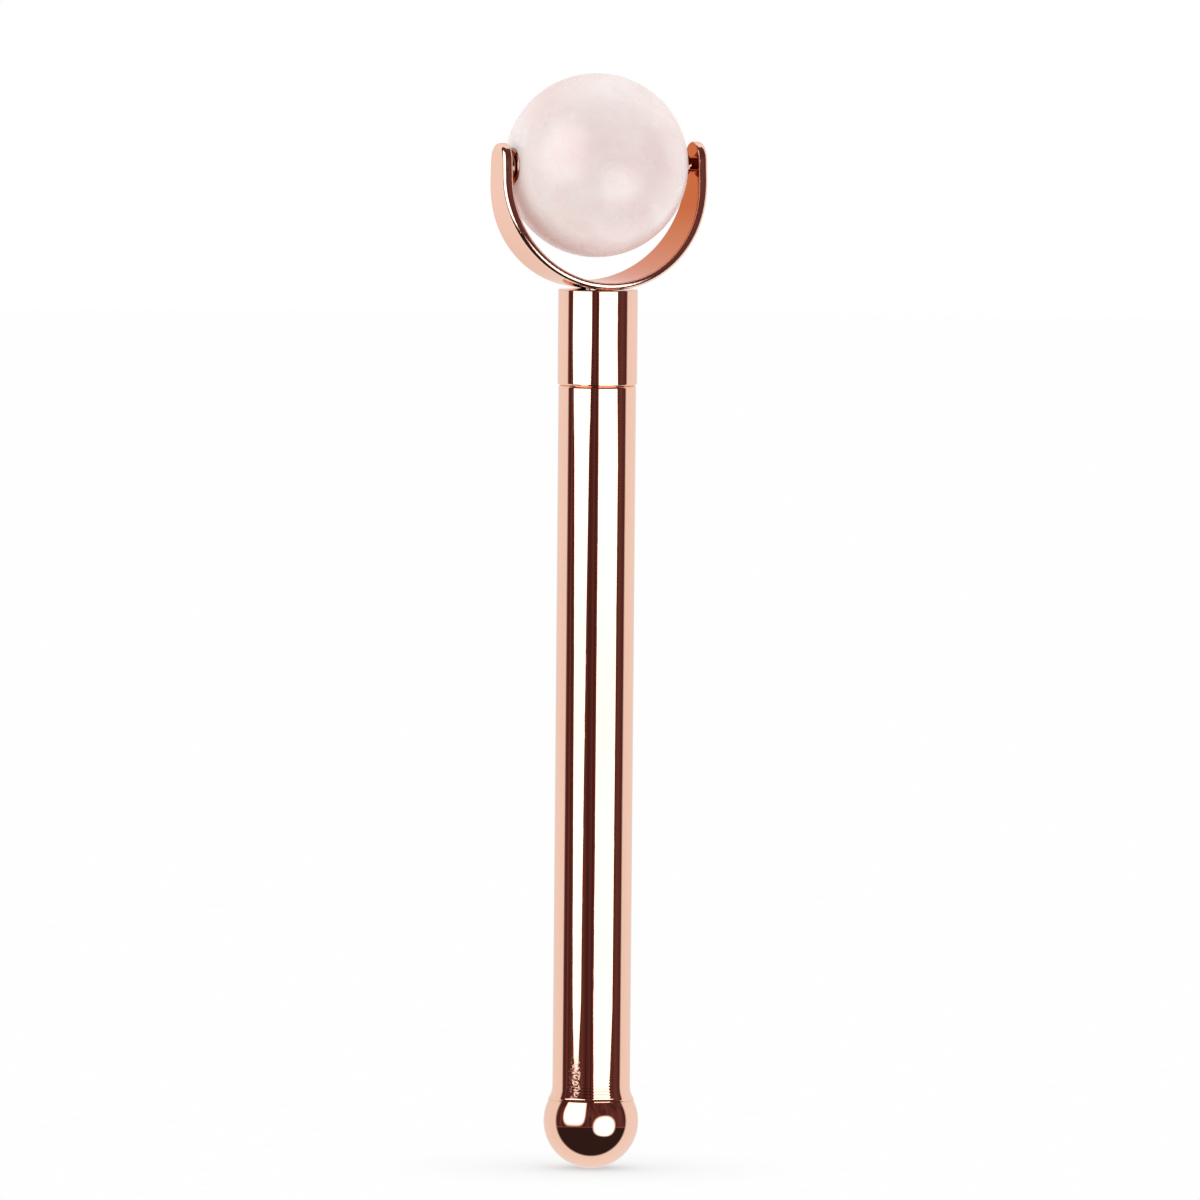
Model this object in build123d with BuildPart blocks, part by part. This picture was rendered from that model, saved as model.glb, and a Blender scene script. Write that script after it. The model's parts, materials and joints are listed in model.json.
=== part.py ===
from build123d import *
from math import cos, radians, sin, sqrt
import os

# Hand roller: a stone ball turns on a pin held by a U-shaped yoke on a tubular handle.
# The handle's axis is Z and the roller stands on its finial at the origin.
# The ball's pin runs along X, with left at -X. Sizes are in mm; names that end in _low,
# _top or _z are heights, _r radii, and _bore the radius of a hole.

os.makedirs("parts", exist_ok=True)

# ---------------------------------------------------------------- shared sizes
pin_z = 164.0  # height of the pin axis
pin_r = 1.35
pin_half = 17.2  # half the pin's length
pin_axis = Axis((0, 0, pin_z), (1, 0, 0))

ball_r = 15.0
ball_x = -0.5  # the ball rests near the left end of its play on the pin

running_gap = 0.05  # radial gap from pin to sleeve and from sleeve to caps
sleeve_bore = pin_r + running_gap
sleeve_r = 1.85
sleeve_half = 14.15  # half the sleeve's length

# Distances along the pin, from the ball's centre
cap_hub_end = 15.80  # outer end of the hub that bears on the yoke's arm
cap_face = 14.95  # outer face of the flange
cap_seat = 14.35  # inner face of the flange
cap_wall_in = 14.20  # inside of the end wall
cap_end = 8.35  # inner end of the barrel

cap_eye_r = 1.50  # hole in the end wall, clear of the pin
cap_bore = sleeve_r + running_gap
cap_hub_r = 2.15
cap_barrel_r = 2.30  # glued into the stone
cap_flange_r = 2.85
cap_recess_r = cap_flange_r + 0.1  # recess in the stone round the flange

yoke_floor_out = 143.8  # underside of the strap, on the collar
yoke_floor_in = yoke_floor_out + 1.2

collar_r = 6.5
collar_bore = 5.7
collar_low = 128.2  # the seam with the handle tube
collar_top = yoke_floor_out
collar_roof = collar_top - 2.0  # underside of the collar's end wall
seam_edge = 0.28  # edge break on each side of the seam

stud_r = 2.0
stud_top = 144.4

tube_low = 11.2
tube_bore = 5.55
plug_lead = 0.4  # chamfer on the inner ends of both plugs

finial_stud_r = 2.5
finial_stud_low = 5.0

# ---------------------------------------------------------------- stone ball
recess_edge = sqrt(ball_r**2 - cap_recess_r**2)  # where the recess meets the sphere
# (distance along the pin from the ball's centre, radius)
stone_bore_profile = [
    (-recess_edge, cap_recess_r),
    (-cap_seat, cap_recess_r),
    (-cap_seat, cap_barrel_r),
    (cap_seat, cap_barrel_r),
    (cap_seat, cap_recess_r),
    (recess_edge, cap_recess_r),
]

with BuildPart() as stone_ball:
    with BuildSketch(Plane.XZ):
        with BuildLine():
            Polyline(*[(ball_x + along, pin_z + r) for along, r in stone_bore_profile])
            ThreePointArc(
                (ball_x + recess_edge, pin_z + cap_recess_r),
                (ball_x, pin_z + ball_r),
                (ball_x - recess_edge, pin_z + cap_recess_r),
            )
        make_face()
    revolve(axis=pin_axis)

# ---------------------------------------------------------------- ball caps
hub_chamfer = 0.15
flange_chamfer = 0.22
# (distance along the pin from the ball's centre, radius)
cap_profile = [
    (cap_hub_end, cap_eye_r),
    (cap_hub_end, cap_hub_r - hub_chamfer),
    (cap_hub_end - hub_chamfer, cap_hub_r),
    (cap_face, cap_hub_r),
    (cap_face, cap_flange_r - flange_chamfer),
    (cap_face - flange_chamfer, cap_flange_r),
    (cap_seat, cap_flange_r),
    (cap_seat, cap_barrel_r),
    (cap_end, cap_barrel_r),
    (cap_end, cap_bore),
    (cap_wall_in, cap_bore),
    (cap_wall_in, cap_eye_r),
]

with BuildPart() as left_ball_cap:
    with BuildSketch(Plane.XZ):
        with BuildLine():
            Polyline(*[(ball_x - along, pin_z + r) for along, r in cap_profile], close=True)
        make_face()
    revolve(axis=pin_axis)

ball_mid_plane = Plane((ball_x, 0, pin_z), x_dir=(0, 1, 0), z_dir=(1, 0, 0))
with BuildPart() as right_ball_cap:
    add(left_ball_cap.part)
    mirror(about=ball_mid_plane, mode=Mode.REPLACE)

# ---------------------------------------------------------------- sleeve and pin
pin_chamfer = 0.2

with BuildPart() as axle_sleeve:
    with BuildSketch(Plane.YZ.offset(ball_x - sleeve_half)):
        with Locations((0, pin_z)):
            Circle(sleeve_r)
            Circle(sleeve_bore, mode=Mode.SUBTRACT)
    extrude(amount=2 * sleeve_half)

with BuildPart() as axle_pin:
    with BuildSketch(Plane.YZ.offset(-pin_half)):
        with Locations((0, pin_z)):
            Circle(pin_r)
    extrude(amount=2 * pin_half)
    chamfer(axle_pin.edges().filter_by(GeomType.CIRCLE), pin_chamfer)

# ---------------------------------------------------------------- yoke
yoke_outer_r = 18.05  # the arms are straight above the centre of the bend
yoke_inner_r = 16.35
yoke_outer_z = yoke_floor_out + yoke_outer_r  # centres of the two bends
yoke_inner_z = yoke_floor_in + yoke_inner_r
yoke_edge_out = 0.75  # fillets along the two skins
yoke_edge_in = 0.30
pin_pocket = pin_half + 0.05  # end of the blind pocket in each arm
stud_seat_cut = 4.0  # reaches down past the underside of the strap

# The strap is cut from a plain U-shaped band, larger than the side outline
band_top = 172.0
band_half_width = 8.0
side_reach = 20.0  # half the length of the side outline's extrusion

tip_r = 3.0  # rounded tip, seen from the side
tip_draft = radians(4)  # the sides already converge where the tip's arc starts
tip_centre_z = pin_z + 0.75
tip_half_width = tip_r * cos(tip_draft)  # where the tip's arc meets the sides
tip_side_z = tip_centre_z + tip_r * sin(tip_draft)

# Side outline below the tip: (half width, drop below the pin axis)
side_stations = [
    (3.30, 3.3),
    (4.34, 9.3),
    (5.52, 15.8),
    (6.14, 18.6),
    (6.32, 19.9),
]
foot_half_width, foot_drop = side_stations[-1]
foot_top = pin_z - foot_drop
foot_low = pin_z - 20.8


def skin_edges(part, radius, centre_z):
    """Edges that run along one skin of the strap, without the bend lines."""

    def off(point):
        if point.Z > centre_z:
            return abs(abs(point.X) - radius)
        return abs(sqrt(point.X**2 + (point.Z - centre_z) ** 2) - radius)

    def along(edge):
        points = [edge.position_at(k / 6) for k in range(7)]
        level = max(p.Z for p in points) - min(p.Z for p in points) < 1e-4
        return all(off(p) < 1e-3 for p in points) and not level

    return part.edges().filter_by(along)


with BuildPart() as yoke:
    with BuildSketch(Plane.XZ.offset(-band_half_width)):
        with BuildLine():
            Line((-yoke_outer_r, band_top), (-yoke_outer_r, yoke_outer_z))
            ThreePointArc(
                (-yoke_outer_r, yoke_outer_z),
                (0, yoke_floor_out),
                (yoke_outer_r, yoke_outer_z),
            )
            Polyline(
                (yoke_outer_r, yoke_outer_z),
                (yoke_outer_r, band_top),
                (yoke_inner_r, band_top),
                (yoke_inner_r, yoke_inner_z),
            )
            ThreePointArc(
                (yoke_inner_r, yoke_inner_z),
                (0, yoke_floor_in),
                (-yoke_inner_r, yoke_inner_z),
            )
            Polyline(
                (-yoke_inner_r, yoke_inner_z),
                (-yoke_inner_r, band_top),
                (-yoke_outer_r, band_top),
            )
        make_face()
    extrude(amount=2 * band_half_width)
    # side outline: parallel at the foot, drawn in to a round tip
    with BuildSketch(Plane.YZ.offset(-side_reach)):
        with BuildLine():
            for side in (1, -1):
                Spline(
                    (side * tip_half_width, tip_side_z),
                    *[(side * width, pin_z - drop) for width, drop in side_stations],
                    tangents=[(side * sin(tip_draft), -cos(tip_draft)), (0, -1)],
                )
            ThreePointArc(
                (tip_half_width, tip_side_z),
                (0, tip_centre_z + tip_r),
                (-tip_half_width, tip_side_z),
            )
            Polyline(
                (-foot_half_width, foot_top),
                (-foot_half_width, foot_low),
                (foot_half_width, foot_low),
                (foot_half_width, foot_top),
            )
        make_face()
    extrude(amount=2 * side_reach, mode=Mode.INTERSECT)
    fillet(skin_edges(yoke, yoke_inner_r, yoke_inner_z), yoke_edge_in)
    fillet(skin_edges(yoke, yoke_outer_r, yoke_outer_z), yoke_edge_out)
    # blind pockets for the pin
    with BuildSketch(Plane.YZ.offset(-pin_pocket)):
        with Locations((0, pin_z)):
            Circle(pin_r)
    extrude(amount=2 * pin_pocket, mode=Mode.SUBTRACT)
    # blind seat for the stud
    with BuildSketch(Plane.XY.offset(stud_top)):
        Circle(stud_r)
    extrude(amount=-stud_seat_cut, mode=Mode.SUBTRACT)

# ---------------------------------------------------------------- collar
collar_top_edge = 0.18
stud_hole_gap = 0.1

with BuildPart() as collar:
    with BuildSketch(Plane.XY.offset(collar_low)):
        Circle(collar_r)
    extrude(amount=collar_top - collar_low)
    fillet(collar.edges().group_by(Axis.Z)[0], seam_edge)
    fillet(collar.edges().group_by(Axis.Z)[-1], collar_top_edge)
    # hollow, open at the seam
    with BuildSketch(Plane.XY.offset(collar_low)):
        Circle(collar_bore)
    extrude(amount=collar_roof - collar_low, mode=Mode.SUBTRACT)
    # stud hole through the end wall
    with BuildSketch(Plane.XY.offset(collar_roof)):
        Circle(stud_r + stud_hole_gap)
    extrude(amount=collar_top - collar_roof, mode=Mode.SUBTRACT)

# ---------------------------------------------------------------- yoke fixing
stud_low = 136.8
stud_chamfer = 0.4
washer_r = 3.9
washer_gap = 0.15
washer_thickness = 0.8
nut_across_flats = 7.0
nut_height = 3.2
nut_top = collar_roof - washer_thickness

with BuildPart() as yoke_stud:
    with BuildSketch(Plane.XY.offset(stud_low)):
        Circle(stud_r)
    extrude(amount=stud_top - stud_low)
    chamfer(yoke_stud.edges().group_by(Axis.Z)[0], stud_chamfer)

with BuildPart() as yoke_washer:
    with BuildSketch(Plane.XY.offset(nut_top)):
        Circle(washer_r)
        Circle(stud_r + washer_gap, mode=Mode.SUBTRACT)
    extrude(amount=washer_thickness)

with BuildPart() as yoke_nut:
    with BuildSketch(Plane.XY.offset(nut_top - nut_height)):
        RegularPolygon(nut_across_flats / 2, 6, major_radius=False)
        Circle(stud_r, mode=Mode.SUBTRACT)
    extrude(amount=nut_height)

# ---------------------------------------------------------------- threaded spigot
insert_top = 134.2
insert_top_chamfer = 0.4
neck_r = 3.55
neck_low = 126.2
spigot_low = 121.0
spigot_chamfer = 0.3

thread_core_r = 3.45
thread_crest_r = 4.0
thread_pitch = 1.0
thread_margin = 0.65  # plain core left at each end of the helix
thread_sink = 0.15  # depth of the ridge's root inside the core
thread_root_half = 0.44  # half widths of the ridge
thread_crest_half = 0.07
thread_low = spigot_low + thread_margin
thread_depth = thread_crest_r - thread_core_r

with BuildPart() as collar_insert:
    with BuildSketch(Plane.XY.offset(collar_low)):
        Circle(collar_bore)
    extrude(amount=insert_top - collar_low)
    with BuildSketch(Plane.XY.offset(collar_low)):
        Circle(neck_r)
    extrude(amount=neck_low - collar_low)
    with BuildSketch(Plane.XY.offset(neck_low)):
        Circle(thread_core_r)
    extrude(amount=spigot_low - neck_low)
    chamfer(collar_insert.edges().group_by(Axis.Z)[0], spigot_chamfer)
    chamfer(collar_insert.edges().group_by(Axis.Z)[-1], insert_top_chamfer)
    # thread, one ridge wound round the core
    with BuildLine() as thread_path:
        Helix(
            pitch=thread_pitch,
            height=neck_low - spigot_low - 2 * thread_margin,
            radius=thread_core_r,
            center=(0, 0, thread_low),
        )
    with BuildSketch(Plane((thread_core_r, 0, thread_low), x_dir=(1, 0, 0), z_dir=(0, 1, 0))):
        Polygon(
            (-thread_sink, -thread_root_half),
            (thread_depth, -thread_crest_half),
            (thread_depth, thread_crest_half),
            (-thread_sink, thread_root_half),
            align=None,
        )
    sweep(path=thread_path.line, is_frenet=True)

# ---------------------------------------------------------------- seal ring
ring_major = 4.2
ring_minor = 0.6
ring_seat_z = 127.0  # floor of the ring's seat in the top plug

with BuildPart() as seal_ring:
    with BuildSketch(Plane.XZ):
        with Locations((ring_major, ring_seat_z + ring_minor)):
            Circle(ring_minor)
    revolve(axis=Axis.Z)

# ---------------------------------------------------------------- handle tube
tube_r = 6.35
flare_r = 7.03
flare_lip = 11.4  # top of the straight lip at the tube's lower end
flare_top = 13.6  # where the flare runs out into the tube
flare_chamfer = 0.1
seam_round = 0.3  # softens the lower edge of the seam chamfer

# The flare's arc is tangent to the tube at flare_top
flare_out = flare_r - tube_r
flare_round = (flare_out**2 + (flare_top - flare_lip) ** 2) / (2 * flare_out)
flare_mid_z = (flare_top + flare_lip) / 2
flare_mid_r = tube_r + flare_round - sqrt(flare_round**2 - (flare_top - flare_mid_z) ** 2)
seam_chamfer_low = collar_low - seam_edge

with BuildPart() as handle_tube:
    with BuildSketch(Plane.XZ):
        with BuildLine():
            Polyline(
                (tube_r, flare_top),
                (tube_r, seam_chamfer_low),
                (tube_r - seam_edge, collar_low),
                (tube_bore, collar_low),
                (tube_bore, tube_low),
                (flare_r - flare_chamfer, tube_low),
                (flare_r, tube_low + flare_chamfer),
                (flare_r, flare_lip),
            )
            ThreePointArc(
                (flare_r, flare_lip), (flare_mid_r, flare_mid_z), (tube_r, flare_top)
            )
        make_face()
    revolve(axis=Axis.Z)
    fillet(
        handle_tube.edges()
        .filter_by(GeomType.CIRCLE)
        .filter_by(
            lambda e: abs(e.radius - tube_r) < 0.01
            and abs(e.center().Z - seam_chamfer_low) < 0.01
        ),
        seam_round,
    )

# ---------------------------------------------------------------- plugs
top_plug_top = 128.0
top_plug_low = 118.0
top_plug_bore = 4.05
ring_seat_r = 4.9
bottom_plug_top = 22.0

with BuildPart() as top_plug:
    with BuildSketch(Plane.XY.offset(top_plug_low)):
        Circle(tube_bore)
        Circle(top_plug_bore, mode=Mode.SUBTRACT)
    extrude(amount=top_plug_top - top_plug_low)
    # seat for the seal ring
    with BuildSketch(Plane.XY.offset(ring_seat_z)):
        Circle(ring_seat_r)
    extrude(amount=top_plug_top - ring_seat_z, mode=Mode.SUBTRACT)
    chamfer(top_plug.edges().group_by(Axis.Z)[0].sort_by(SortBy.RADIUS)[-1], plug_lead)

with BuildPart() as bottom_plug:
    with BuildSketch(Plane.XY.offset(tube_low)):
        Circle(tube_bore)
        Circle(finial_stud_r, mode=Mode.SUBTRACT)
    extrude(amount=bottom_plug_top - tube_low)
    chamfer(bottom_plug.edges().group_by(Axis.Z)[-1].sort_by(SortBy.RADIUS)[-1], plug_lead)

# ---------------------------------------------------------------- finial and its stud
finial_r = 7.75
finial_flat_r = sqrt(finial_r**2 - (tube_low - finial_r) ** 2)  # flat under the tube
finial_stud_top = 20.0
finial_stud_chamfer = 0.4
socket_across_flats = 2.5
socket_depth = 3.0

with BuildPart() as finial_stud:
    with BuildSketch(Plane.XY.offset(finial_stud_low)):
        Circle(finial_stud_r)
    extrude(amount=finial_stud_top - finial_stud_low)
    chamfer(finial_stud.edges().filter_by(GeomType.CIRCLE), finial_stud_chamfer)
    # hex socket for driving it in
    with BuildSketch(Plane.XY.offset(finial_stud_top)):
        RegularPolygon(socket_across_flats / 2, 6, major_radius=False)
    extrude(amount=-socket_depth, mode=Mode.SUBTRACT)

with BuildPart() as finial:
    with BuildSketch(Plane.XZ):
        with BuildLine():
            Polyline(
                (0, 0),
                (0, finial_stud_low),
                (finial_stud_r, finial_stud_low),
                (finial_stud_r, tube_low),
                (finial_flat_r, tube_low),
            )
            ThreePointArc((finial_flat_r, tube_low), (finial_r, finial_r), (0, 0))
        make_face()
    revolve(axis=Axis.Z)

# ---------------------------------------------------------------- files
pieces = {
    "stone_ball": stone_ball,
    "left_ball_cap": left_ball_cap,
    "right_ball_cap": right_ball_cap,
    "axle_sleeve": axle_sleeve,
    "axle_pin": axle_pin,
    "yoke": yoke,
    "yoke_stud": yoke_stud,
    "yoke_washer": yoke_washer,
    "yoke_nut": yoke_nut,
    "collar": collar,
    "collar_insert": collar_insert,
    "seal_ring": seal_ring,
    "handle_tube": handle_tube,
    "top_plug": top_plug,
    "bottom_plug": bottom_plug,
    "finial_stud": finial_stud,
    "finial": finial,
}
for name, piece in pieces.items():
    piece.part.label = name
    export_step(piece.part, f"parts/{name}.step")
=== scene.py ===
"""A rose-gold handle carrying a rose quartz stone in a strap, standing in a white studio.

Metres, +Z up. The handle stands along Z with its flared foot near z = 0. The strap
(the yoke) is a U in the XZ plane, open at the top, with a ball cap on either side.
The camera stands on the -Y side, turned a little towards -X.
"""
import json
import math
from functools import cached_property

import bpy
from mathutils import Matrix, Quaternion, Vector

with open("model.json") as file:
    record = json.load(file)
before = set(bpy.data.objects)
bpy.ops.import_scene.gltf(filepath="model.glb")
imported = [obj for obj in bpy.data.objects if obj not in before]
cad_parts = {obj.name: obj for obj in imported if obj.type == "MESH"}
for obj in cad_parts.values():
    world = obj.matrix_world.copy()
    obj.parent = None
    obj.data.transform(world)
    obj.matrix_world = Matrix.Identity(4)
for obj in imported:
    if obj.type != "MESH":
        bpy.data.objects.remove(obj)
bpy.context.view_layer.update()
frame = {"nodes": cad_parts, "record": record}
scene = bpy.context.scene
nodes = frame["nodes"]

# ------------------------------------------------------------------ viewpoint
AZIMUTH = math.radians(-22.5)
ELEVATION = math.radians(3.5)
ROLL = math.radians(0.5)
CAMERA_DISTANCE = 3.264
AIM = Vector((0.0, 0.0, 0.0930))
# level directions towards the camera and to its right, and the sloping line to the camera
FRONT = Vector((math.sin(AZIMUTH), -math.cos(AZIMUTH), 0.0))
RIGHT = Vector((math.cos(AZIMUTH), math.sin(AZIMUTH), 0.0))
TO_CAMERA = FRONT * math.cos(ELEVATION) + Vector((0, 0, math.sin(ELEVATION)))


def around(angle, z, radius):
    """A point on an upright cylinder; the angle runs from the front towards the right."""
    p = FRONT * (radius * math.cos(angle)) + RIGHT * (radius * math.sin(angle))
    return (p.x, p.y, z)


# ------------------------------------------------------------------ node help
def is_socket(value):
    return isinstance(value, bpy.types.NodeSocket)


class Tree:
    """Shorthands for building the node tree of a material or world, its owner."""

    def __init__(self, owner, output="ShaderNodeOutputMaterial"):
        self.owner = owner
        owner.use_nodes = True
        self.tree = owner.node_tree
        self.tree.nodes.clear()
        self.out = self.node(output)

    def node(self, kind, inputs=None, **props):
        n = self.tree.nodes.new(kind)
        for key, value in props.items():
            setattr(n, key, value)
        for key, value in (inputs or {}).items():
            if is_socket(value):
                self.tree.links.new(value, n.inputs[key])
            else:
                n.inputs[key].default_value = value
        return n

    @cached_property
    def spot(self):
        """The shaded point in object coordinates."""
        return self.node("ShaderNodeTexCoord").outputs["Object"]

    def noise(self, scale, detail=4.0, rough=0.55, vector=None, distort=0.0, output="Fac"):
        inputs = {
            "Vector": vector or self.spot,
            "Scale": scale,
            "Detail": detail,
            "Roughness": rough,
            "Distortion": distort,
        }
        return self.node("ShaderNodeTexNoise", inputs).outputs[output]

    def stretch(self, scale, vector=None):
        inputs = {"Vector": vector or self.spot, "Scale": scale}
        return self.node("ShaderNodeMapping", inputs).outputs["Vector"]

    def split(self, vector):
        return self.node("ShaderNodeSeparateXYZ", {"Vector": vector}).outputs

    def remap(self, value, span, to=(0.0, 1.0), curve="LINEAR"):
        """Carry the span of values over to another, clamped at its ends."""
        inputs = {
            "Value": value,
            "From Min": span[0],
            "From Max": span[1],
            "To Min": to[0],
            "To Max": to[1],
        }
        n = self.node("ShaderNodeMapRange", inputs, interpolation_type=curve)
        return n.outputs["Result"]

    def ramp(self, fac, stops):
        """A colour ramp; stops are (position, colour)."""
        n = self.node("ShaderNodeValToRGB", {"Fac": fac})
        elements = n.color_ramp.elements
        while len(elements) < len(stops):
            elements.new(0.5)
        for element, (position, colour) in zip(elements, stops):
            element.position = position
            element.color = (*colour, 1.0)
        return n.outputs["Color"]

    def calc(self, operation, a, b=0.0, c=0.0):
        return self.node("ShaderNodeMath", {0: a, 1: b, 2: c}, operation=operation).outputs[0]

    def lift(self, base, mask, by):
        """base, raised by the given amount where the mask is 1."""
        return self.calc("MULTIPLY_ADD", mask, by, base)

    def vector(self, operation, *inputs, output="Vector"):
        n = self.node("ShaderNodeVectorMath", dict(enumerate(inputs)), operation=operation)
        return n.outputs[output]

    def mix(self, amount, base, over, blend="MIX"):
        base, over = (v if is_socket(v) else (*v, 1.0) for v in (base, over))
        inputs = {0: amount, 6: base, 7: over}
        return self.node("ShaderNodeMix", inputs, data_type="RGBA", blend_type=blend).outputs[2]

    def bump(self, height, strength, distance, normal=None):
        inputs = {"Height": height, "Strength": strength, "Distance": distance}
        if normal is not None:
            inputs["Normal"] = normal
        return self.node("ShaderNodeBump", inputs).outputs["Normal"]

    def finish(self, kind, inputs):
        """Add the closing shader, join it to the output and return the owner."""
        shader = self.node(kind, inputs).outputs[0]
        self.tree.links.new(shader, self.out.inputs["Surface"])
        return self.owner

    def principled(self, inputs):
        return self.finish("ShaderNodeBsdfPrincipled", inputs)


def material_tree(name):
    return Tree(bpy.data.materials.new(name))


# ------------------------------------------------------------------ plated metal
ROSE_GOLD = [
    (0.25, (0.845, 0.530, 0.400)),
    (0.55, (0.870, 0.565, 0.440)),
    (0.85, (0.890, 0.600, 0.480)),
]
PLATED_ROUGHNESS = 0.022

# the strap's U: height where the bend meets the arms, and where the inner skin ends
BEND_Z = 0.16135
SKIN_EDGE = (0.01642, 0.01652)
SKIN_HEIGHTS = (0.145, 0.165)
# painted reflection and shade on the inner skin: coppery orange for the stone and strap
# reflected there, pale low in the U and deepest higher up the arms
SKIN_PAINTED_REFLECTION = [
    (0.02, (0.76, 0.42, 0.34)),
    (0.12, (0.72, 0.34, 0.23)),
    (0.30, (0.67, 0.255, 0.135)),
    (0.60, (0.58, 0.150, 0.052)),
]

# heights over which the flare's levelled normals come in and go out again
FLARE_START = (0.01150, 0.01185)
FLARE_END = (0.0138, 0.0140)
SCUFF = around(-0.48, z=0.0148, radius=0.00635)  # middle of the scuffed patch


def strap_tint_and_painted_reflection(t, tint):
    """Painted reflection and shade on the inner skin: a coppery orange standing in for the
    stone and strap reflected there; paler gold elsewhere. Returns tint and grazing tint.
    """
    xyz = t.split(t.spot)
    below = t.calc("MINIMUM", t.calc("SUBTRACT", xyz["Z"], BEND_Z), 0.0)
    x_squared = t.calc("MULTIPLY", xyz["X"], xyz["X"])
    below_squared = t.calc("MULTIPLY", below, below)
    reach = t.calc("SQRT", t.calc("ADD", x_squared, below_squared))
    skin = t.remap(reach, span=SKIN_EDGE, to=(1.0, 0.0))
    # painted reflection: the coppery orange of the inner skin, set by height
    painted_orange_reflection = t.ramp(t.remap(xyz["Z"], span=SKIN_HEIGHTS), SKIN_PAINTED_REFLECTION)
    tint = t.mix(amount=0.75, base=tint, over=(0.930, 0.655, 0.550))
    tint = t.mix(skin, tint, painted_orange_reflection)
    # grazing reflections keep some of the metal's colour, redder on the inner skin with its
    # painted reflection
    glance = t.mix(skin, (0.96, 0.80, 0.72), (0.95, 0.67, 0.60))
    # to matt surfaces the strap shows a pale tint instead: painted bounce light that keeps the
    # stone beside it bright and free of the painted orange
    diffuse = t.node("ShaderNodeLightPath").outputs["Is Diffuse Ray"]
    return t.mix(diffuse, tint, (0.98, 0.89, 0.85)), glance


def flare_normal(t, z):
    """Normals nearly level on the flare, so the tube's reflection runs straight on."""
    normal = t.split(t.node("ShaderNodeNewGeometry").outputs["Normal"])
    slope = t.remap(z, span=FLARE_START, to=(1.0, -0.03))
    on_flare = t.remap(z, span=FLARE_END, to=(1.0, 0.0))
    slope = t.calc("MAXIMUM", slope, t.calc("SUBTRACT", 1.0, on_flare))
    parts = {"X": normal["X"], "Y": normal["Y"], "Z": t.calc("MULTIPLY", normal["Z"], slope)}
    flat = t.node("ShaderNodeCombineXYZ", parts).outputs["Vector"]
    return flat, t.vector("NORMALIZE", flat)


def foot_wear_and_painted_lines(t, z, flat, tint, rough, normal):
    """A scuffed patch on the left of the foot, and fine turning rings round it, bumped and,
    where the foot faces the camera, painted as dark reflection lines.
    """
    away = t.vector("SUBTRACT", t.spot, SCUFF)
    away = t.vector("MULTIPLY", away, (1.0, 1.0, 0.42))  # the patch is taller than wide
    away = t.vector("LENGTH", away, output="Value")
    patch = t.remap(away, span=(0.0010, 0.0021), to=(1.0, 0.0))
    pits = t.remap(t.noise(scale=2600.0, detail=3.0, rough=0.65), span=(0.50, 0.66))
    pits = t.calc("MULTIPLY", pits, patch)
    rough = t.lift(rough, pits, by=0.16)
    normal = t.bump(pits, strength=0.05, distance=0.000012, normal=normal)

    bands = {
        "Vector": t.spot,
        "Scale": 640.0,
        "Distortion": 1.6,
        "Detail": 2.0,
        "Detail Scale": 0.5,
    }
    rings = t.node("ShaderNodeTexWave", bands, wave_type="BANDS", bands_direction="Z")
    near_foot = t.remap(z, span=(0.0128, 0.0160), to=(1.0, 0.0))
    rings = t.calc("MULTIPLY", rings.outputs["Fac"], near_foot)
    normal = t.bump(rings, strength=0.03, distance=0.00002, normal=normal)
    # painted reflection: the rings darken only where the foot faces the camera, as dark lines
    # across the mirrored highlight
    ahead = t.vector("DOT_PRODUCT", flat, tuple(FRONT), output="Value")
    painted_reflection_line = t.remap(rings, span=(0.45, 0.90), to=(0.0, 0.62))
    painted_reflection_line = t.calc("MULTIPLY", painted_reflection_line, t.remap(ahead, span=(0.82, 0.90)))
    return t.mix(painted_reflection_line, tint, (0.32, 0.10, 0.09)), rough, normal


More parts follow.
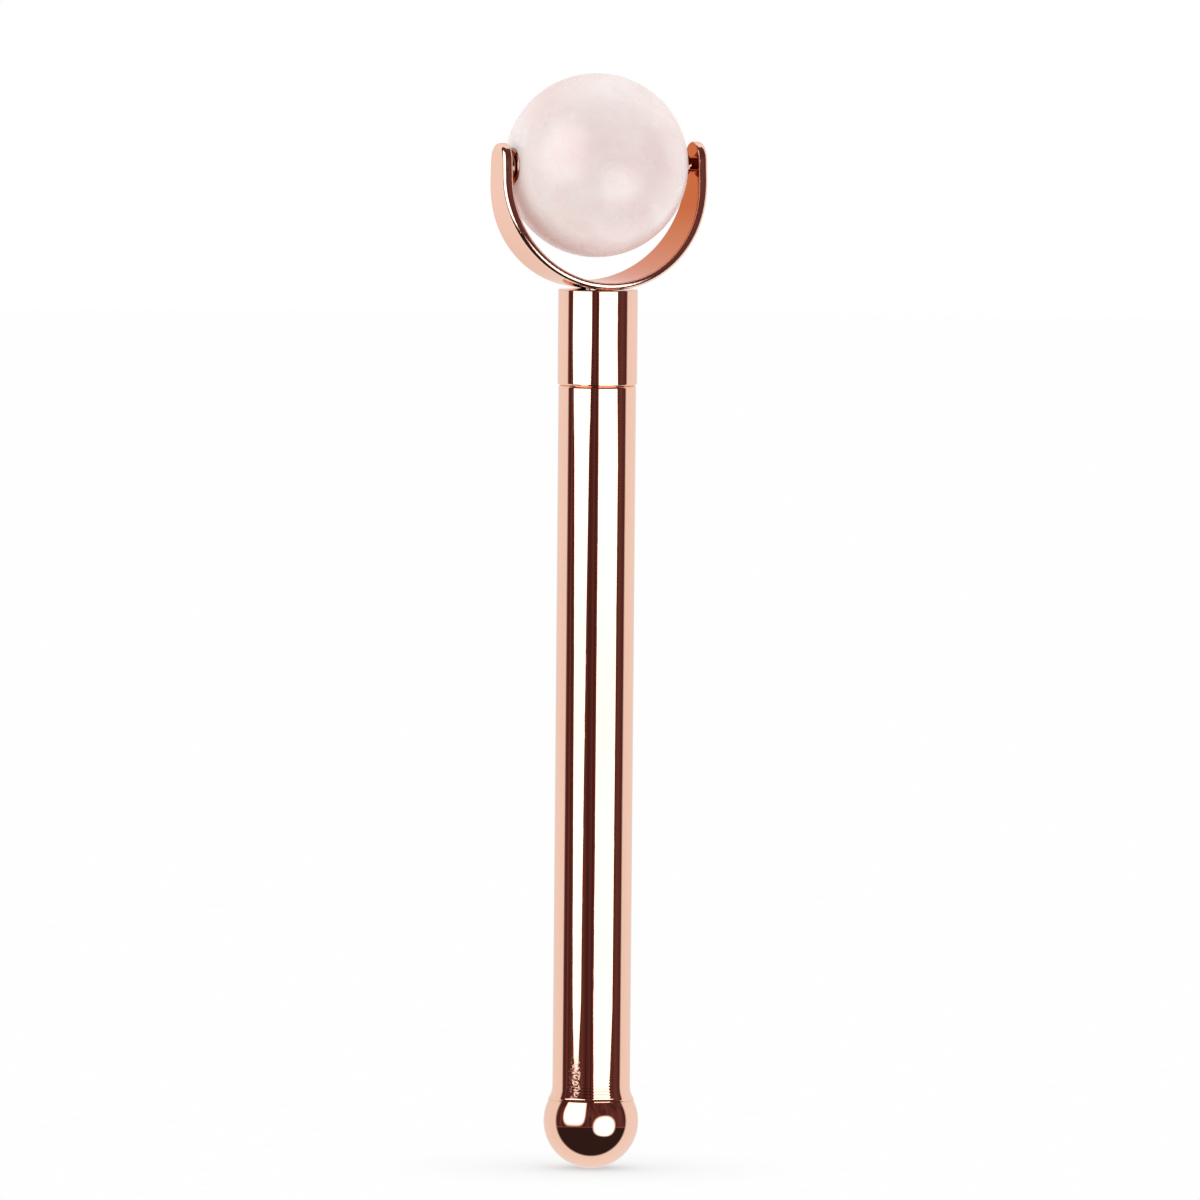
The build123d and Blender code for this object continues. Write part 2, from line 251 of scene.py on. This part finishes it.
def plated(name, seed=0.0, painted_shade=False, foot=False, strap=False):
    """Rose-gold mirror plating: tint drift, hairline scratches, pinholes, smudges and
    slight waviness. The seed shifts the drift, and the darkening flag multiplies the
    tint down as painted shade; foot and strap add the finishes of those pieces, with
    painted dark reflection lines on the foot and painted reflection on the strap's inner skin."""
    t = material_tree(name)
    grain = t.stretch((1.0, 1.0, 0.45))
    drift = t.noise(scale=38.0 + seed, detail=3.0, rough=0.5, vector=grain)
    tint = t.ramp(drift, ROSE_GOLD)
    if painted_shade:
        # painted shade: a darker tint for the shadowed gap between the strap's arm and the
        # stone
        tint = t.mix(amount=1.0, base=tint, over=(0.42, 0.34, 0.32), blend="MULTIPLY")
    if strap:
        tint, glance = strap_tint_and_painted_reflection(t, tint)

    # smudges, and hairlines that run long in the handle's direction
    haze = t.remap(t.noise(scale=120.0, detail=6.0, rough=0.62, distort=0.6), span=(0.52, 0.76))
    along = t.stretch((9000.0, 9000.0, 160.0))
    hair = t.noise(scale=1.0, detail=2.0, rough=0.5, vector=along)
    hair = t.remap(hair, span=(0.62, 0.76))
    rough = t.lift(PLATED_ROUGHNESS, haze, by=0.035)
    rough = t.lift(rough, hair, by=0.030)

    # sparse pinholes: cell centres, kept only in the peaks of a broad noise
    cell = t.node("ShaderNodeTexVoronoi", {"Vector": t.spot, "Scale": 260.0})
    pin = t.remap(cell.outputs["Distance"], span=(0.020, 0.034), to=(1.0, 0.0))
    keep = t.remap(t.noise(scale=75.0, detail=2.0, rough=0.5), span=(0.60, 0.62))
    pin = t.calc("MULTIPLY", pin, keep)
    tint = t.mix(t.calc("MULTIPLY", pin, 0.5), tint, (0.30, 0.12, 0.08))

    normal = None
    if foot:
        z = t.split(t.spot)["Z"]
        flat, normal = flare_normal(t, z)
    tall = t.stretch((1.0, 1.0, 0.35))
    wave = t.noise(scale=95.0, detail=1.0, rough=0.4, vector=tall)
    normal = t.bump(wave, strength=0.05, distance=0.0006, normal=normal)
    normal = t.bump(hair, strength=0.03, distance=0.00002, normal=normal)
    normal = t.bump(pin, strength=-0.30, distance=0.00004, normal=normal)
    if foot:
        tint, rough, normal = foot_wear_and_painted_lines(t, z, flat, tint, rough, normal)

    inputs = {"Base Color": tint, "Metallic": 1.0, "Roughness": rough, "Normal": normal}
    if strap:
        inputs["Specular Tint"] = glance
    return t.principled(inputs)


# ------------------------------------------------------------------ other materials
def stone():
    """Cloudy pale pink quartz: milky body, pinker clouds and pale wisps, polished."""
    t = material_tree("rose_quartz")
    warp = t.noise(scale=48.0, detail=2.0, rough=0.5, output="Color")
    moved = t.vector("MULTIPLY_ADD", warp, (0.009, 0.009, 0.009), t.spot)
    body = t.ramp(
        t.noise(scale=66.0, detail=3.0, vector=moved),
        [
            (0.30, (0.805, 0.655, 0.628)),
            (0.50, (0.860, 0.755, 0.728)),
            (0.70, (0.900, 0.845, 0.822)),
        ],
    )
    wisp = t.noise(scale=150.0, rough=0.60, vector=moved, distort=0.8)
    wisp = t.remap(wisp, span=(0.50, 0.68))
    body = t.mix(t.calc("MULTIPLY", wisp, 0.34), body, (0.92, 0.87, 0.85))
    polish = t.noise(scale=240.0, rough=0.5)
    grain = t.noise(scale=420.0, detail=3.0, rough=0.5)
    return t.principled(
        {
            "Base Color": body,
            "Roughness": t.remap(polish, span=(0.3, 0.7), to=(0.24, 0.32)),
            "IOR": 1.54,
            "Specular IOR Level": 0.60,
            "Subsurface Weight": 0.35,
            "Subsurface Radius": (0.0060, 0.0036, 0.0032),
            "Subsurface Scale": 0.6,
            "Normal": t.bump(grain, strength=0.04, distance=0.00005),
        }
    )


def turned(name, low, high, rough):
    """Turned or drawn metal with fine tool marks, tint drift and dull patches."""
    t = material_tree(name)
    rings = t.stretch((300.0, 300.0, 9000.0))
    marks = t.noise(scale=1.0, detail=2.0, rough=0.5, vector=rings)
    dull = t.noise(scale=480.0, detail=5.0, rough=0.6)
    return t.principled(
        {
            "Base Color": t.ramp(t.noise(scale=220.0), [(0.3, low), (0.7, high)]),
            "Metallic": 1.0,
            "Roughness": t.remap(dull, span=(0.35, 0.7), to=(rough, rough + 0.16)),
            "Normal": t.bump(marks, strength=0.20, distance=0.00003),
        }
    )


def nylon():
    """Off-white nylon with a slightly uneven skin."""
    t = material_tree("nylon")
    stops = [(0.3, (0.74, 0.72, 0.66)), (0.7, (0.86, 0.85, 0.80))]
    sheen = t.noise(scale=900.0, rough=0.6)
    grain = t.noise(scale=1600.0, detail=3.0, rough=0.5)
    return t.principled(
        {
            "Base Color": t.ramp(t.noise(scale=300.0), stops),
            "Roughness": t.remap(sheen, span=(0.3, 0.7), to=(0.36, 0.52)),
            "Subsurface Weight": 0.25,
            "Subsurface Radius": (0.002, 0.002, 0.0016),
            "Subsurface Scale": 1.0,
            "Normal": t.bump(grain, strength=0.12, distance=0.00003),
        }
    )


def rubber():
    """Matt black nitrile."""
    t = material_tree("nitrile")
    stops = [(0.3, (0.018, 0.018, 0.019)), (0.75, (0.050, 0.048, 0.046))]
    sheen = t.noise(scale=1400.0, rough=0.6)
    grain = t.noise(scale=2600.0, detail=3.0, rough=0.6)
    return t.principled(
        {
            "Base Color": t.ramp(t.noise(scale=500.0, rough=0.6), stops),
            "Roughness": t.remap(sheen, span=(0.3, 0.7), to=(0.50, 0.72)),
            "Normal": t.bump(grain, strength=0.25, distance=0.00003),
        }
    )


by_slot = {
    "plated_metal": plated("rose_gold"),
    "stone": stone(),
    "nylon": nylon(),
    "fastener_steel": turned(
        "zinc_steel", low=(0.46, 0.47, 0.49), high=(0.66, 0.66, 0.67), rough=0.20
    ),
    "insert_brass": turned(
        "brass", low=(0.62, 0.44, 0.17), high=(0.80, 0.62, 0.30), rough=0.17
    ),
    "rubber": rubber(),
}
# the ball caps take painted shade: their darkened tint stands in for the dark gap between arm
# and stone
cap = plated("cap_painted_shade", seed=3.0, painted_shade=True)
by_piece = {
    "left_ball_cap": cap,
    "right_ball_cap": cap,
    "handle_tube": plated("rose_gold_tube", seed=2.0, foot=True),
    "yoke": plated("rose_gold_strap", seed=5.0, strap=True),
    "finial": plated("rose_gold_finial", seed=9.0),
}
slots = {s["node"]: s["material_slot"] for s in frame["record"]["subparts"]}
for name, ob in nodes.items():
    ob.data.materials.clear()
    ob.data.materials.append(by_piece.get(name) or by_slot[slots[name]])

# ------------------------------------------------------------------ light
CLOTH_RADIUS = 0.7  # of the cylinder the mirror cloths hang on
SOFT_RADIUS = 0.9  # of the one for the cloths that light matt surfaces
MIRROR_POWER = 2.25

# the straight handle and the rounder pieces each have their own set of reflectors
groups = {}
for name, ob in nodes.items():
    key = "handle" if name in ("handle_tube", "collar") else "rest"
    if key not in groups:
        groups[key] = bpy.data.collections.new(key + "_lit")
    groups[key].objects.link(ob)


def grid_faces(rows, per_row, closed):
    """Quads between rows + 1 lines of points; closed joins each line's ends."""
    columns = per_row if closed else per_row - 1
    faces = []
    for i in range(rows):
        for j in range(columns):
            here, above = i * per_row, (i + 1) * per_row
            k = (j + 1) % per_row
            faces.append((here + j, here + k, above + k, above + j))
    return faces


def glow(name, verts, faces, power, only=None, mirror=True, out=None, soft=0.0):
    """A glowing cloth, seen only in reflections (mirror) or only by matt surfaces.
    only names the group it lights; out is how far out each point lies, 0 to 1, and
    soft is the width of the dim border."""
    t = material_tree(name)
    if soft:
        far = t.node("ShaderNodeAttribute", attribute_name="out").outputs["Fac"]
        power = t.remap(far, span=(1.0 - soft, 1.0), to=(power, 0.0), curve="SMOOTHSTEP")
    emission = {"Color": (1.0, 1.0, 1.0, 1.0), "Strength": power}
    if only:
        # clear to the pieces it isn't meant for
        shine = t.node("ShaderNodeEmission", emission).outputs[0]
        clear = t.node("ShaderNodeBsdfTransparent").outputs[0]
        material = t.finish("ShaderNodeAddShader", {0: shine, 1: clear})
    else:
        material = t.finish("ShaderNodeEmission", emission)
    mesh = bpy.data.meshes.new(name)
    mesh.from_pydata(verts, [], faces)
    mesh.materials.append(material)
    if soft:
        mesh.attributes.new("out", "FLOAT", "POINT").data.foreach_set("value", out)
    ob = bpy.data.objects.new(name, mesh)
    scene.collection.objects.link(ob)
    ob.visible_camera = False
    ob.visible_shadow = False
    ob.visible_diffuse = not mirror
    ob.visible_glossy = mirror
    if only:
        ob.light_linking.receiver_collection = groups[only]


def panel(name, middle, half, low, high, power, square=2.0, radius=CLOTH_RADIUS, **look):
    """A rounded cloth between two heights. middle and half are degrees round from the
    front, positive to the right; square squares up the outline; look goes to glow."""
    rings, spokes = 20, 96
    verts, out = [], []
    mid_z, half_z = (low + high) / 2, (high - low) / 2
    for i in range(rings + 1):
        for j in range(spokes):
            turn = 2 * math.pi * j / spokes
            ca, sa = math.cos(turn), math.sin(turn)
            q = i / rings / (abs(ca) ** square + abs(sa) ** square) ** (1 / square)
            angle = math.radians(middle + half * q * ca)
            verts.append(around(angle, mid_z + half_z * q * sa, radius))
            out.append(i / rings)
    glow(name, verts, grid_faces(rings, spokes, closed=True), power, out=out, **look)


def sheet(name, rows):
    """A tall cloth for the handle, its edges given row by row."""
    across = 24
    verts = []
    for z, left, right in rows:
        for j in range(across + 1):
            angle = math.radians(left + (right - left) * j / across)
            verts.append(around(angle, z, CLOTH_RADIUS))
    faces = grid_faces(len(rows) - 1, across + 1, closed=False)
    glow(name, verts, faces, MIRROR_POWER, only="handle")


# rows of height, left edge and right edge in degrees; the low sheets carry the same
# columns on below, where only the higher viewpoints see them
SHEETS = {
    "handle_left": [
        (-0.0420, -49.0, -42.0),
        (-0.0405, -52.5, -39.5),
        (-0.0366, -55.0, -37.0),
        (-0.0296, -58.5, -33.0),
        (0.0100, -62.5, -30.5),
        (0.0497, -65.0, -26.5),
        (0.0794, -69.0, -23.0),
        (0.1012, -76.0, -17.0),
        (0.3000, -76.0, -17.0),
    ],
    "handle_right": [
        (-0.0640, 9.0, 50.0),
        (-0.0470, 8.0, 53.0),
        (-0.0396, 6.0, 58.0),
        (-0.0296, 5.0, 63.0),
        (0.0800, 5.5, 65.5),
        (0.1012, 4.0, 59.0),
        (0.1650, 4.0, 59.0),
    ],
    "handle_left_low": [(-0.90, -60.0, -34.0), (-0.40, -66.0, -30.0), (-0.072, -64.0, -31.0)],
    "handle_right_low": [
        (-0.90, 12.0, 48.0),
        (-0.40, 5.0, 60.0),
        (-0.078, 5.0, 64.0),
        (-0.0638, 9.0, 50.0),
    ],
}
for name, rows in SHEETS.items():
    sheet(name, rows)
panel(
    "round_left", middle=-43.5, half=32.2, low=-0.1375, high=1.1125,
    power=MIRROR_POWER, square=4.0, only="rest", soft=0.20,
)
panel(
    "round_right", middle=33.5, half=30.7, low=-0.4725, high=0.2255,
    power=MIRROR_POWER, square=2.3, only="rest", soft=0.28,
)
panel(
    "soft_left", middle=-50.0, half=40.0, low=0.0, high=0.9,
    power=0.7, radius=SOFT_RADIUS, mirror=False,
)
panel(
    "soft_right", middle=45.0, half=35.0, low=0.0, high=0.9,
    power=0.5, radius=SOFT_RADIUS, mirror=False,
)


# ------------------------------------------------------------------ world
def reflected_room(w, ray, facing, up):
    """A bright surround behind the object and a dark room on the camera's side."""
    behind = w.remap(facing, span=(-0.05, -0.14))
    streak = w.noise(scale=1.0, detail=3.0, rough=0.5, vector=w.stretch((7.0, 7.0, 0.5), ray))
    streak = w.remap(streak, span=(0.35, 0.68))
    front = w.mix(streak, (0.070, 0.020, 0.019), (0.150, 0.058, 0.052))
    # darkest below, with a faint red rim along the boundary
    low = w.remap(up, span=(-0.185, -0.215))
    front = w.mix(low, front, (0.034, 0.018, 0.017))
    rim = w.node("ShaderNodeMath", {0: up, 1: 0.195}, operation="ADD").outputs[0]
    rim = w.node("ShaderNodeMath", {0: rim}, operation="ABSOLUTE").outputs[0]
    rim = w.remap(rim, span=(0.010, 0.022), to=(1.0, 0.0))
    rim = w.node("ShaderNodeMath", {0: rim, 1: 0.55}, operation="MULTIPLY").outputs[0]
    front = w.mix(rim, front, (0.34, 0.12, 0.11))
    # the surround falls off a little straight behind the object
    straight = w.vector("DOT_PRODUCT", ray, tuple(-FRONT), output="Value")
    straight = w.remap(straight, span=(0.60, 1.0), curve="SMOOTHSTEP")
    back = w.mix(straight, (1.0, 0.985, 0.975), (0.91, 0.875, 0.855))
    return w.mix(behind, front, back)


def matt_tent(w, facing, up):
    """The even white tent that matt surfaces see, pinker and brighter from below."""
    tent = w.mix(w.remap(up, span=(-0.9, 0.5)), (2.28, 1.62, 1.63), (1.16, 1.15, 1.15))
    gain = w.remap(facing, span=(-1.0, 1.0), to=(0.86, 1.15))
    n = w.node("ShaderNodeVectorMath", {0: tent, "Scale": gain}, operation="SCALE")
    return n.outputs["Vector"]


def build_world():
    scene.world = bpy.data.worlds.new("studio")
    w = Tree(scene.world, output="ShaderNodeOutputWorld")
    ray = w.node("ShaderNodeTexCoord").outputs["Generated"]
    facing = w.vector("DOT_PRODUCT", ray, tuple(TO_CAMERA), output="Value")
    up = w.split(ray)["Z"]
    room = reflected_room(w, ray, facing, up)
    tent = matt_tent(w, facing, up)
    path = w.node("ShaderNodeLightPath").outputs
    after_matt = {0: path["Diffuse Depth"], 1: 0.5}
    matt = w.node("ShaderNodeMath", after_matt, operation="GREATER_THAN").outputs[0]
    seen = w.mix(matt, room, tent)
    # the camera itself sees plain white
    seen = w.mix(path["Is Camera Ray"], seen, (1.0, 1.0, 1.0))
    w.finish("ShaderNodeBackground", {"Color": seen, "Strength": 1.0})


build_world()


# ------------------------------------------------------------------ floor
def floor_material():
    """Glowing white, faintly mottled, with a painted contact shadow darkening it where the
    object stands close.
    """
    t = material_tree("pale_floor")
    # painted shadow: ambient occlusion darkens the glowing floor round the object's foot
    ao = t.node("ShaderNodeAmbientOcclusion", {"Distance": 0.030}, samples=16)
    openness = t.calc("POWER", ao.outputs["AO"], 1.0)
    painted_shadow_tone = t.mix(openness, (0.60, 0.56, 0.55), (1.0, 1.0, 1.0))
    speck = t.remap(t.noise(scale=160.0, rough=0.6), span=(0.3, 0.7), to=(0.985, 1.0))
    return t.finish("ShaderNodeEmission", {"Color": painted_shadow_tone, "Strength": speck})


material = floor_material()
bpy.ops.mesh.primitive_circle_add(vertices=128, radius=3.0, fill_type="NGON")
floor = bpy.context.object
floor.name = "floor"
floor.data.materials.append(material)
floor.visible_glossy = False
floor.visible_shadow = False

# ------------------------------------------------------------------ camera
cam_data = bpy.data.cameras.new("photo_view")
cam = bpy.data.objects.new("photo_view", cam_data)
scene.collection.objects.link(cam)
cam.location = AIM + TO_CAMERA * CAMERA_DISTANCE
look = (AIM - cam.location).normalized().to_track_quat("-Z", "Y")
cam.rotation_mode = "QUATERNION"
cam.rotation_quaternion = look @ Quaternion((0, 0, 1), ROLL)
cam_data.sensor_width = 36.0
cam_data.lens = 600.0
cam_data.shift_x = 0.00383333
cam_data.clip_end = 20.0
scene.camera = cam
scene.view_settings.view_transform = "Standard"
scene.view_settings.look = "None"
